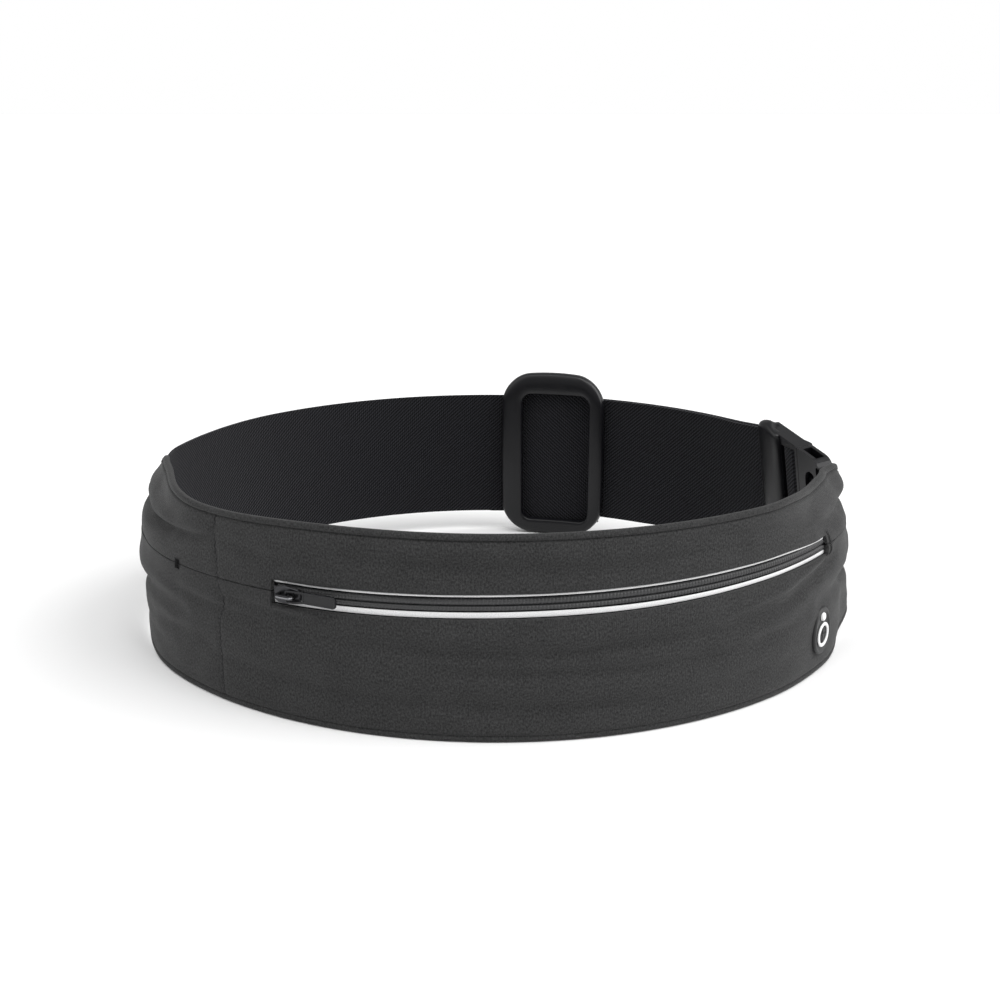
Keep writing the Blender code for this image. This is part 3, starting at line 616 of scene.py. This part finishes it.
def pouch_profile(s):
    """Section of the pouch at s, from the zip slot's upper lip round the back to its lower lip."""
    low, high, middle = pouch_bottom(s), pouch_top(s), zip_middle(s)
    opened = slot_open(s)
    closed_gap = 0.04 if s < LIPS_WELD else 0.0
    upper = middle + (slot_above(s) if opened else closed_gap)
    lower = middle - (slot_below(s) if opened else closed_gap)
    fold = 1.0 if opened else 0.34 * (1.0 - ramp(s, LIPS_MEET, LIPS_WELD))
    up_off, low_off = front_face(s, upper + 1.2), front_face(s, lower - 1.2)
    inner = -2.2 if opened else -1.1
    lip = 0.05 if closed_gap else 0.0
    lip_off = low_off - 1.1 * fold - 0.1 if closed_gap else up_off - 0.1
    above = steps(upper + 0.9, middle + 7.0, 4)
    above += steps(middle + 7.0, high - HEM_WIDTH, 15)[1:]
    behind = steps(high - 3.4, low + 3.4, 24)
    below = steps(low + HEM_WIDTH, middle - 7.5, 30)
    below += steps(middle - 7.5, lower - 0.9, 4)[1:]
    profile = [(upper + 2.2, inner), (upper + 0.7, inner),
               (upper + lip, up_off - 1.1 * fold - 0.1),
               (upper + 0.1, up_off - 0.55 * fold), (upper + 0.4, up_off - 0.12 * fold)]
    profile += [(z, front_face(s, z)) for z in above]
    profile += hem_points(s, high, -1.0, TOP_HEM)
    profile += [(z, back_face(s, z)) for z in behind]
    profile += hem_points(s, low, 1.0, BOTTOM_HEM)
    profile += [(z, front_face(s, z)) for z in below]
    profile += [(lower - 0.4, low_off - 0.12 * fold), (lower - 0.1, low_off - 0.55 * fold),
                (lower - lip, lip_off), (lower - 0.7, inner), (lower - 2.2, inner)]
    return profile


# How the pouch's cut ends turn in: shift along the ring, and how much the section closes
END_ROLL = [(2.5, 0.8), (0.8, 0.7), (0.2, 0.3)]


def pouch_stations():
    """(s, shift, inset) of every section, closest together at the zip slot's two ends."""
    stations = spread(POUCH_LEFT, ZIP_LEFT - 0.5, 1.5)
    stations += spread(ZIP_LEFT - 0.15, ZIP_LEFT + 0.15, 0.3)
    stations += spread(ZIP_LEFT + 0.6, ZIP_RIGHT - 0.6, 1.5)
    stations += spread(ZIP_RIGHT - 0.15, ZIP_RIGHT + 0.15, 0.3)
    stations += spread(ZIP_RIGHT + 0.5, POUCH_RIGHT, 1.3)
    along = [(POUCH_LEFT, shift, inset) for shift, inset in END_ROLL]
    along += [(s, 0.0, 0.0) for s in stations]
    along += [(POUCH_RIGHT, -shift, inset) for shift, inset in reversed(END_ROLL)]
    return along


def build_pouch(looks):
    rows, coords = [], []
    for s, shift, inset in pouch_stations():
        profile = pouch_profile(s)
        row, line, travelled = [], [], 0.0
        for index, (z, off) in enumerate(profile):
            if index:
                travelled += math.hypot(z - profile[index - 1][0], off - profile[index - 1][1])
            line.append((s, travelled))
            tuck = inset if z < STRAP_LOW else -inset if z > 60.0 else 0.0
            row.append(place(s + shift, z + tuck, -2.0 + (off + 2.0) * (1.0 - 0.45 * inset)))
        rows.append(row)
        coords.append(line)
    cloth = grid_object("pouch_knit", rows, coords)
    merge(cloth, turn_faces=False)
    finish_piece(cloth, "belt", "knit_fabric", looks["knit"], "front_panel_upper",
                 "front_panel_lower", "side_panel_upper", "side_panel_lower", "back_panel",
                 "top_hem", "bottom_hem")

    zigzag = []
    ends = (pouch_bottom(SIDE_SEAM) + 2.2, pouch_top(SIDE_SEAM) - 2.6)
    for index, z in enumerate(spread(*ends, 1.3)):
        s = seam_place(z) + (0.4 if index % 2 else -0.4)
        zigzag.append(place(s, z, front_face(s, z) + 0.05))
    thread("side_seam_stitches", zigzag, 0.2, looks["thread"])
    build_bartack("pocket_bartack_stitches", "side_pocket_bartack", POCKET_BARTACK, 1.5, 2.0, looks)
    build_bartack("zip_end_bartack_stitches", "zip_end_bartack", ZIP_RIGHT + 2.6, 1.0, 4.4, looks)


def build_bartack(name, node, s, wide, tall, looks):
    """Dense zigzag across the zip's line; wide and tall are its half sizes."""
    centre = zip_middle(s)
    points = []
    for index in range(BARTACK_POINTS):
        z = centre - tall + 2.0 * tall * (index / (BARTACK_POINTS - 1))
        t = s + (wide if index % 2 else -wide)
        points.append(place(t, z, front_face(t, z) + 0.15))
    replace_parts(thread(name, points, 0.15, looks["bartack"]), node)


# ---------------------------------------------------------------- zip

def build_coil(side, low, high, phase, look):
    """One row of teeth between two heights from the zip's middle; phase shifts the teeth."""
    rows, coords = [], []
    for s in spread(ZIP_LEFT + 1.8, ZIP_RIGHT - 0.6, COIL_PITCH / 8.0):
        tooth = abs(math.sin(math.pi * (s / COIL_PITCH + phase))) ** 0.7
        row, line = [], []
        for share in steps(0.0, 1.0, 9):
            z = zip_middle(s) + low + (high - low) * share
            dome = math.sin(math.pi * share) ** 0.5
            row.append(place(s, z, -1.3 + dome * (0.6 + 0.4 * tooth)))
            line.append((s, z))
        rows.append(row)
        coords.append(line)
    coil = grid_object(f"zip_teeth_{side}", rows, coords)
    finish_piece(coil, "belt", "zip_coil", look, f"zip_coil_{side}")


def build_zip(looks):
    tape = band("zip_tapes", ZIP_LEFT - 4.0, ZIP_RIGHT + 3.5, lambda s: zip_middle(s) - TAPE_BELOW,
                lambda s: zip_middle(s) + TAPE_ABOVE, -1.35, 0.5, 2.0, 1.2)
    finish_piece(tape, "belt", "zip_tape", looks["tape"], "zip_tape_upper", "zip_tape_lower")
    build_coil("upper", 0.08, 2.55, 0.0, looks["coil"])
    build_coil("lower", -2.1, -0.08, 0.5, looks["coil"])
    edges = {
        "upper": (lambda s: zip_middle(s) + slot_above(s) - 0.98,
                  lambda s: zip_middle(s) + slot_above(s) - 0.12),
        "lower": (lambda s: zip_middle(s) - slot_below(s) + 0.1,
                  lambda s: zip_middle(s) - slot_below(s) + 2.3 - 0.7 * ramp(s, 10.0, 140.0)),
    }
    for side, (low, high) in edges.items():
        strip = band(f"reflective_line_{side}", ZIP_LEFT + 0.2, ZIP_RIGHT - 0.2, low, high,
                     -0.55, 0.6, 1.5, 0.6)
        finish_piece(strip, "belt", "reflective_print", looks["strip"], f"reflective_strip_{side}")


# ---------------------------------------------------------------- strap

def build_strap(looks):
    look, webbing = looks["elastic"], "elastic_webbing"
    stop = ADJUSTER_PLACE - RETURN_END
    main = sheet_route("elastic_strap_cloth",
                       straight_route(STRAP_SPLIT, LENGTH + POUCH_LEFT + STRAP_TUCK, INNER_LAYER),
                       STRAP_THICKNESS, 0, STRAP_SPLIT)
    finish_piece(main, "belt", webbing, look, "elastic_strap")
    back = sheet_route("elastic_return_cloth", straight_route(STRAP_SPLIT, stop, OUTER_LAYER),
                       STRAP_THICKNESS, 0, STRAP_SPLIT)
    tail = sheet_route("elastic_tail_cloth",
                       straight_route(stop, ADJUSTER_PLACE + TAIL_END, OUTER_LAYER, -0.8),
                       STRAP_THICKNESS, 0, stop)
    finish_piece(tail, "adjuster", webbing, look, "elastic_strap_tail")
    loop = sheet_route("elastic_loop_cloth", loop_route(), 1.3, 2, ADJUSTER_PLACE, -1.0)
    finish_piece(loop, "adjuster", webbing, look)
    fold = sheet_route("buckle_end_cloth", buckle_route(), STRAP_THICKNESS, 3, STRAP_SPLIT, -1.0)
    tab = sheet_route("buckle_tab_cloth", tab_route(), 1.1, 3)
    finish_piece(tab, "belt", webbing, look, "buckle_webbing_tab")

    bends = ((fold, "elastic_strap_buckle_end", "plug",
              place(STRAP_SPLIT - 2.0, BELT_MIDDLE, -2.0),
              buckle_frame() @ Vector((21.0 * MM, 0.0, 0.0))),
             (back, "elastic_strap_return", "adjuster",
              place(STRAP_SPLIT + 2.0, BELT_MIDDLE, 0.4),
              place(ADJUSTER_PLACE - 9.0, BELT_MIDDLE, 0.4)))
    for piece, node, body, start, end in bends:
        wear(piece, look)
        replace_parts(piece, node)
        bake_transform(piece)


def straight_route(start, end, off, drop=0.0):
    """Low and high edge of a strap that follows the ring at one offset."""
    stations = spread(start, end, 2.0)
    return [[place(s, z + drop, off) for s in stations] for z in (STRAP_LOW, STRAP_HIGH)]


def loop_route():
    """The strap's end where it comes over the adjuster's middle bar, seen in the window."""
    points = [(22.0, -2.5), (16.5, -2.9), (11.0, -4.1), (5.0, -5.0), (-1.0, -5.3), (-7.0, -5.0),
              (-12.0, -4.2), (-17.0, -3.0), (-22.0, -2.5)]
    return [[place(ADJUSTER_PLACE - 0.5 - x, z, off) for x, off in points] for z in (7.0, 73.2)]


def buckle_points(route, half):
    """Points (x, y) of the buckle's frame, half above its middle, all in mm."""
    axes = buckle_frame()
    return [axes @ Vector((x * MM, y * MM, half * MM)) for x, y in route]


def buckle_route():
    """Low and high edge of the strap round the plug's cross bar."""
    route = [(41.0, -1.5), (34.0, 0.9), (27.0, 3.3), (20.5, 4.75), (12.0, 4.75), (4.0, 4.75),
             (-1.6, 4.7), (-2.6, 3.4), (-2.6, -1.2), (-3.4, -2.7), (-6.5, -2.7), (-9.6, -2.7),
             (-10.4, -1.2), (-10.4, 5.4), (-9.0, 7.0), (-4.0, 7.1), (4.0, 7.1), (12.0, 7.1),
             (20.5, 7.0), (27.0, 5.6), (34.0, 3.2), (41.0, 0.8)]
    outside = spread(296.0, STRAP_SPLIT, 4.0)
    lines = []
    for z, half in ((STRAP_LOW, -30.0), (STRAP_HIGH, 30.0)):
        going = [place(s, z, INNER_LAYER) for s in reversed(outside)]
        coming = [place(s, z, OUTER_LAYER) for s in outside]
        lines.append(going + buckle_points(route, half) + coming)
    return lines


def tab_route():
    """Low and high edge of the webbing tab folded through the socket's slot."""
    fold = [(-34.1, 0.35), (-33.1, 1.3), (-32.2, 2.4), (-30.4, 2.45), (-29.3, 1.4),
            (-29.3, -1.4), (-30.4, -2.45), (-32.2, -2.4), (-33.0, -1.7), (-33.8, -1.25)]
    tucked = [POUCH_RIGHT - step for step in (13.0, 9.0, 5.0, 1.5)]
    lines = []
    for z, half in ((STRAP_LOW + 4.0, -25.5), (STRAP_HIGH - 6.5, 24.0)):
        outer_ply = [place(s, z, -2.13) for s in tucked]
        inner_ply = [place(s, z, -3.67) for s in reversed(tucked)]
        lines.append(outer_ply + buckle_points(fold, half) + inner_ply)
    return lines


def sheet_route(name, lines, thickness, rounding, start=0.0, sense=1.0):
    """Flat webbing that follows a route given by its low and high edges; start sets its weave."""
    fine = []
    for points in lines:
        for _ in range(rounding):
            cut = [points[0]]
            for here, there in zip(points, points[1:]):
                cut += [here.lerp(there, 0.25), here.lerp(there, 0.75)]
            points = cut + [points[-1]]
        fine.append(points)
    rows, coords, travelled = [], [], 0.0
    levels = steps(0.0, 1.0, 17)
    for index, (low, high) in enumerate(zip(*fine)):
        if index:
            travelled += (low - fine[0][index - 1]).length / MM
        rows.append([low.lerp(high, share) for share in levels])
        coords.append([(start + sense * travelled, (high - low).length / MM * share)
                       for share in levels])
    item = grid_object(name, rows, coords)
    solid = item.modifiers.new("thickness", "SOLIDIFY")
    solid.thickness = thickness * MM
    solid.offset = 0.0
    depsgraph = bpy.context.evaluated_depsgraph_get()
    item.data = bpy.data.meshes.new_from_object(item.evaluated_get(depsgraph))
    item.modifiers.clear()
    item.data.set_sharp_from_angle(angle=math.radians(50.0))
    return item


# ---------------------------------------------------------------- hardware and port

def frame_outline(half, radius, t):
    """Point at share t of the way round a rounded rectangle, matched corner to corner."""
    side, along = divmod(t * 4.0, 1.0)
    corners = ((1, 1), (-1, 1), (-1, -1), (1, -1))
    here, there = corners[int(side) % 4], corners[(int(side) + 1) % 4]
    turn = math.radians(90.0 * side + 90.0 * min(along / 0.6, 1.0))
    reach = (radius * math.cos(turn), radius * math.sin(turn))
    share = max(0.0, (along - 0.6) / 0.4)
    return [(half[k] - radius) * (1.0 - share) * here[k] + (half[k] - radius) * share * there[k]
            + reach[k] for k in (0, 1)]


def adjuster_place(x, z, depth):
    """Point of the adjuster's frame, bent along the strap at its own radius."""
    along = (x + FRAME_SHIFT) * BACK_RADIUS / (BACK_RADIUS + ADJUSTER_OFFSET * MM)
    return place(ADJUSTER_PLACE + along, z, ADJUSTER_OFFSET + depth)


def squared(value, half):
    """A cosine or sine pushed out towards a rounded square of the given half size."""
    return half * math.copysign(abs(value) ** 0.6, value)


def build_adjuster(looks):
    """Frame with a lipped, crowned section swept round its outline, and the bar behind it."""
    section = [(0.0, 1.9), (0.0, -0.5), (0.02, -1.1), (0.06, -1.6), (0.12, -2.0), (0.22, -2.4),
               (0.36, -2.75), (0.55, -2.95), (0.74, -2.95), (0.87, -2.8), (0.92, -2.65),
               (0.945, -2.4), (0.975, -1.9), (1.0, -1.3), (1.0, 1.8), (0.97, 2.3), (0.9, 2.45),
               (0.1, 2.45), (0.03, 2.3)]
    wide, tall = ADJUSTER_HALF
    turns, rows, coords = 192, [], []
    for i in range(turns):
        x, z = frame_outline(ADJUSTER_HALF, 13.0, i / turns)
        outer = (x * (1.0 + ADJUSTER_BOW * (1.0 - (z / tall) ** 2)),
                 z * (1.0 - ADJUSTER_BOW * (x / wide) ** 2))
        inner = [value + shift for value, shift in zip(frame_outline(WINDOW_HALF, 4.5, i / turns),
                                                       WINDOW_SHIFT)]
        row = []
        for across, depth in section:
            x, z = (far + (near - far) * across for far, near in zip(outer, inner))
            row.append(adjuster_place(x, tall + z, depth))
        rows.append(row)
        coords.append([outer] * len(section))
    rows.append(rows[0])
    coords.append(coords[0])
    frame_piece = grid_object("adjuster_ring", rows, coords, closed=True)
    merge(frame_piece)
    finish_piece(frame_piece, "adjuster", "moulded_plastic", looks["plastic"], "adjuster_frame")

    path = [(-1.5, -35.2), (2.5, -35.0), (6.5, -34.2), (8.1, -32.4), (8.15, -28.0), (8.15, 28.0),
            (8.1, 32.4), (6.5, 34.2), (2.5, 35.0), (-1.5, 35.2)]
    sides, rows = 12, []
    for y, z in refine(path, 2):
        row = []
        for step in range(sides):
            angle = 2.0 * math.pi * step / sides
            x, depth = squared(math.cos(angle), 3.4), squared(math.sin(angle), 1.15)
            rise = math.copysign(depth, depth * z) if abs(z) > 31.5 else 0.0
            row.append(place(ADJUSTER_PLACE + x, BELT_MIDDLE + z + rise,
                             ADJUSTER_OFFSET + y + (0.0 if rise else depth)))
        rows.append(row)
    coords = [[(0.0, 0.0)] * sides] * len(rows)
    bar = capped(grid_object("adjuster_middle_bar", rows, coords, closed=True))
    finish_piece(bar, "adjuster", "moulded_plastic", looks["plastic"])


def build_grip(looks):
    """Rounded skin of the grip bar along the wide end of the buckle's plug."""
    axes = buckle_frame()
    section = [(17.1, -1.0), (17.1, 1.6), (16.3, 3.0), (14.6, 3.7), (8.0, 3.8), (0.6, 3.7),
               (-0.5, 3.1), (-0.85, 2.0), (-0.85, -3.6), (-0.6, -4.6), (0.2, -5.3), (1.4, -5.65),
               (3.0, -5.75), (8.0, -5.9), (12.0, -5.75), (14.6, -5.2), (16.2, -4.0), (17.0, -2.6)]
    middle = (8.0, -1.0)
    rows = []
    cap = ((-1.5, 0.2), (-1.35, 0.45), (-0.9, 0.70), (-0.2, 0.86), (0.8, 0.96))
    for height, shrink in cap:
        rows.append([(x, y, -GRIP_HALF + height, shrink) for x, y in section])
    for share in steps(-1.0, 1.0, 13):
        rows.append([(x, y, (GRIP_HALF - 2.0) * share, 1.0) for x, y in section])
    rows += [[(x, y, -z, shrink) for x, y, z, shrink in row] for row in reversed(rows[:len(cap)])]
    points = []
    for row in rows:
        line = []
        for x, y, z, shrink in row:
            drop = GRIP_TAPER * max(0.0, 8.0 - x) + GRIP_TAPER * max(0.0, y + 2.0)
            x, y = (mid + (value - mid) * shrink for mid, value in zip(middle, (x, y)))
            z *= 1.0 - drop / GRIP_HALF
            line.append(axes @ Vector((x * MM, y * MM, z * MM)))
        points.append(line)
    coords = [[(x, z) for x, y, z, shrink in row] for row in rows]
    bar = capped(grid_object("plug_grip", points, coords, closed=True))
    finish_piece(bar, "plug", "moulded_plastic", looks["plastic"])


def slider_frame():
    """Frame at the pull's hinge: X along the zip, Y outwards, Z up."""
    up = -Vector(JOINTS["pull_flip"]["axis"])
    outward = direction(ring(SLIDER_PLACE)[2])
    along = Vector((-outward.y, outward.x, 0.0))
    along = (along - up * along.dot(up)).normalized()
    axes = Matrix((along, along.cross(up), up)).transposed().to_4x4()
    axes.translation = Vector(JOINTS["pull_flip"]["pos_m"])
    return axes


def build_pull(looks):
    """Pull tab with a raised rim, its wire eye and the bright bail over the slider."""
    axes = slider_frame()
    turns, rows, coords = 64, [], []
    for inset, height in ((1.8, -0.7), (0.3, -0.7), (0.0, -0.45), (0.0, 0.45), (0.12, 0.65),
                          (0.3, 0.72), (0.5, 0.7), (0.62, 0.55), (0.72, 0.4), (1.8, 0.4)):
        row = []
        for i in range(turns):
            x, z = frame_outline((6.9 - inset, 2.2 - inset), max(1.3 - inset, 0.15), i / turns)
            row.append(axes @ Vector(((13.9 + x) * MM, height * MM, (0.6 + z) * MM)))
        rows.append(row)
        coords.append([(0.0, 0.0)] * turns)
    plate = capped(grid_object("pull_plate", rows, coords, closed=True))
    plate.data.set_sharp_from_angle(angle=math.radians(55.0))
    finish_piece(plate, "pull_tab", "moulded_plastic", looks["plastic"], "zip_pull")
    eye = [(7.6, -1.2), (3.6, -1.8), (0.6, -1.95), (0.1, -1.8), (0.0, -1.3), (0.0, 1.3),
           (0.1, 1.8), (0.6, 1.95), (3.6, 2.1), (7.6, 2.3)]
    thread("pull_eye", [axes @ Vector((x * MM, 0.0, z * MM)) for x, z in eye], 0.52,
           looks["plastic"], "pull_tab", "moulded_plastic")
    bail = [(-4.0, 0.2), (-3.7, 1.0), (-3.2, 1.7), (0.0, 1.95), (2.2, 1.75), (2.9, 1.0),
            (3.1, 0.2)]
    thread("slider_bail", [axes @ Vector((x * MM, y * MM, 0.0)) for x, y in refine(bail, 2)], 0.38,
           looks["bright"], "zip_slider", "slider_metal")


def round_patch(name, s0, z0, outline, heights, turns=48):
    """Small moulding on the pouch: outline(angle) gives its radius, heights the rings in it."""
    rows, coords = [], []
    for share, height in heights:
        row = []
        for i in range(turns):
            angle = 2.0 * math.pi * i / turns
            radius = outline(angle) * share
            u, v = radius * math.cos(angle), radius * math.sin(angle)
            row.append(place(s0 + u, z0 + v, front_face(s0, z0) + height))
        rows.append(row)
        coords.append([(0.0, 0.0)] * turns)
    return grid_object(name, rows, coords, closed=True)


def build_port(looks):
    """Pear-shaped rubber patch with a crossed slit, a round rim and a plain pip."""
    low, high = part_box("earphone_port_rim")
    s0, z0 = PORT_PLACE, 0.5 * (low[2] + high[2]) / MM

    def pear(angle):
        tip, heel = math.radians(104.0), math.radians(218.0)
        return (6.6 + 5.4 * (0.5 + 0.5 * math.cos(angle - tip)) ** 5
                + 1.6 * (0.5 + 0.5 * math.cos(angle - heel)) ** 3)

    heights = [(1.0, -0.8), (1.0, 0.5), (0.97, 0.95), (0.92, 1.15), (0.86, 1.1), (0.81, 0.75),
               (0.76, 0.5), (0.5, 0.42), (0.25, 0.42), (0.02, 0.42)]
    patch = round_patch("port_patch", s0, z0, pear, heights)
    finish_piece(patch, "belt", "port_rubber", looks["rubber"], "earphone_port_patch")

    def ring_heights(wide, tall):
        turns = [2.0 * math.pi * step / 12.0 for step in range(13)]
        return [(1.0 - wide + wide * math.cos(a), 0.75 + tall * math.sin(a)) for a in turns]

    rim = round_patch("port_rim", s0, z0, lambda angle: 5.0, ring_heights(0.14, 0.5))
    finish_piece(rim, "belt", "reflective_print", looks["rim"], "earphone_port_rim")
    pip = round_patch("port_pip", s0 - 1.2, z0 + 7.4, lambda angle: 1.7 + 0.5 * math.sin(angle),
                      [(1.0, 0.1), (0.9, 0.8), (0.6, 1.05), (0.02, 1.1)], 24)
    finish_piece(pip, "belt", "reflective_print", looks["rim"])
    for index, (across, up) in enumerate(((0.0, 3.2), (2.9, 0.0))):
        slit = [place(s0 - across * t, z0 + up * t, front_face(s0, z0) + 0.46)
                for t in steps(-1.0, 1.0, 5)]
        thread(f"port_slit_{index + 1}", slit, 0.22, looks["thread"])


def build_hardware(looks):
    """Materials for the CAD nodes that are carried over."""
    for name in ("buckle_plug", "buckle_socket", "release_arm_upper", "release_arm_lower"):
        wear(frame["nodes"][name], looks["plastic"])
    for name in ("zip_slider_body", "zip_end_stop"):
        wear(frame["nodes"][name], looks["metal"])


# ---------------------------------------------------------------- studio

FLOOR_REACH = 6.0
SKY_SEEN, SKY_LIGHT = 1.0, 0.42
# name, direction towards the light, strength, angular size in degrees
SUNS = (("key_light", (0.90, -0.10, 0.62), 2.6, 60.0),
        ("fill_light", (-0.8, -0.25, 0.75), 0.9, 60.0),
        ("top_light", (0.1, -0.35, 0.9), 1.2, 40.0))
CAMERA_PLACE, CAMERA_DIP = (-0.00091, -0.59774, 0.2304), 16.63
LENS, SENSOR = 53.03, 36.0


def build_floor():
    floor = bpy.data.meshes.new("studio_floor")
    corners = ((-1, -1), (1, -1), (1, 1), (-1, 1))
    floor.from_pydata([(FLOOR_REACH * x, FLOOR_REACH * y, 0.0) for x, y in corners], [],
                      [(0, 1, 2, 3)])
    item = bpy.data.objects.new("studio_floor", floor)
    bpy.context.scene.collection.objects.link(item)
    floor.materials.append(Look("floor_look", (0.90, 0.90, 0.90), 0.9).material)


def build_sky():
    """White backdrop that lights the object less than it shows."""
    world = bpy.data.worlds.new("studio_world")
    bpy.context.scene.world = world
    world.use_nodes = True
    background = world.node_tree.nodes["Background"]
    background.inputs["Color"].default_value = (1.0, 1.0, 1.0, 1.0)
    rays = world.node_tree.nodes.new("ShaderNodeLightPath")
    level = world.node_tree.nodes.new("ShaderNodeMapRange")
    level.inputs["To Min"].default_value = SKY_LIGHT
    level.inputs["To Max"].default_value = SKY_SEEN
    world.node_tree.links.new(rays.outputs["Is Camera Ray"], level.inputs["Value"])
    world.node_tree.links.new(level.outputs["Result"], background.inputs["Strength"])


def build_studio():
    build_floor()
    bpy.context.scene.view_settings.view_transform = "Standard"
    build_sky()
    for name, towards, strength, size in SUNS:
        light = bpy.data.lights.new(name, "SUN")
        light.energy = strength
        light.angle = math.radians(size)
        lamp = bpy.data.objects.new(name, light)
        lamp.rotation_euler = Vector(towards).to_track_quat("Z", "Y").to_euler()
        bpy.context.scene.collection.objects.link(lamp)
    camera = bpy.data.cameras.new("camera")
    camera.lens = LENS
    camera.sensor_width = SENSOR
    holder = bpy.data.objects.new("camera", camera)
    holder.location = CAMERA_PLACE
    holder.rotation_euler = (math.radians(90.0 - CAMERA_DIP), 0.0, 0.0)
    bpy.context.scene.collection.objects.link(holder)
    bpy.context.scene.camera = holder


looks = build_looks()
build_pouch(looks)
build_zip(looks)
build_strap(looks)
build_adjuster(looks)
build_grip(looks)
build_pull(looks)
build_port(looks)
build_hardware(looks)
build_studio()
